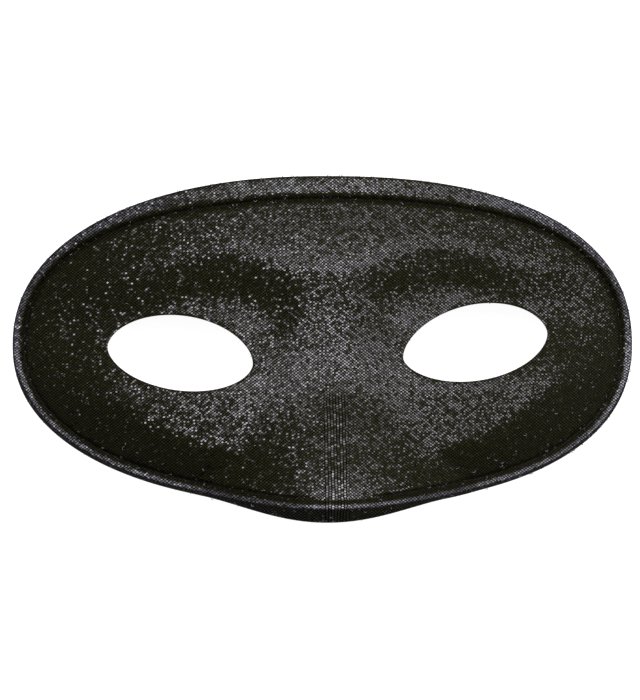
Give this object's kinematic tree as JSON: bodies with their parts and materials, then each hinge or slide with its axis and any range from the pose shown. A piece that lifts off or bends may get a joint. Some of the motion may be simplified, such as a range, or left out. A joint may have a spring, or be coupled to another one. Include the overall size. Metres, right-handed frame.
{
  "type": "domino mask",
  "caption": "Black cloth-covered domino half mask, a pressed shell with almond eye holes, a nose and a raised rim, lying face up.",
  "frame": {"origin": "on the table under the middle of the mask, which lies face up on its two temple ends", "axes": "+X to the right as one looks at the face, +Y up the face to the forehead edge, +Z out of the face"},
  "size_m": [0.17, 0.0928, 0.0565],
  "materials": {
    "black_cloth": "black knitted satin cloth with a fine lattice of glints, bonded to a stiff moulded backing"
  },
  "bodies": {
    "root": {"mask_shell": "black_cloth"}
  },
  "joints": []
}
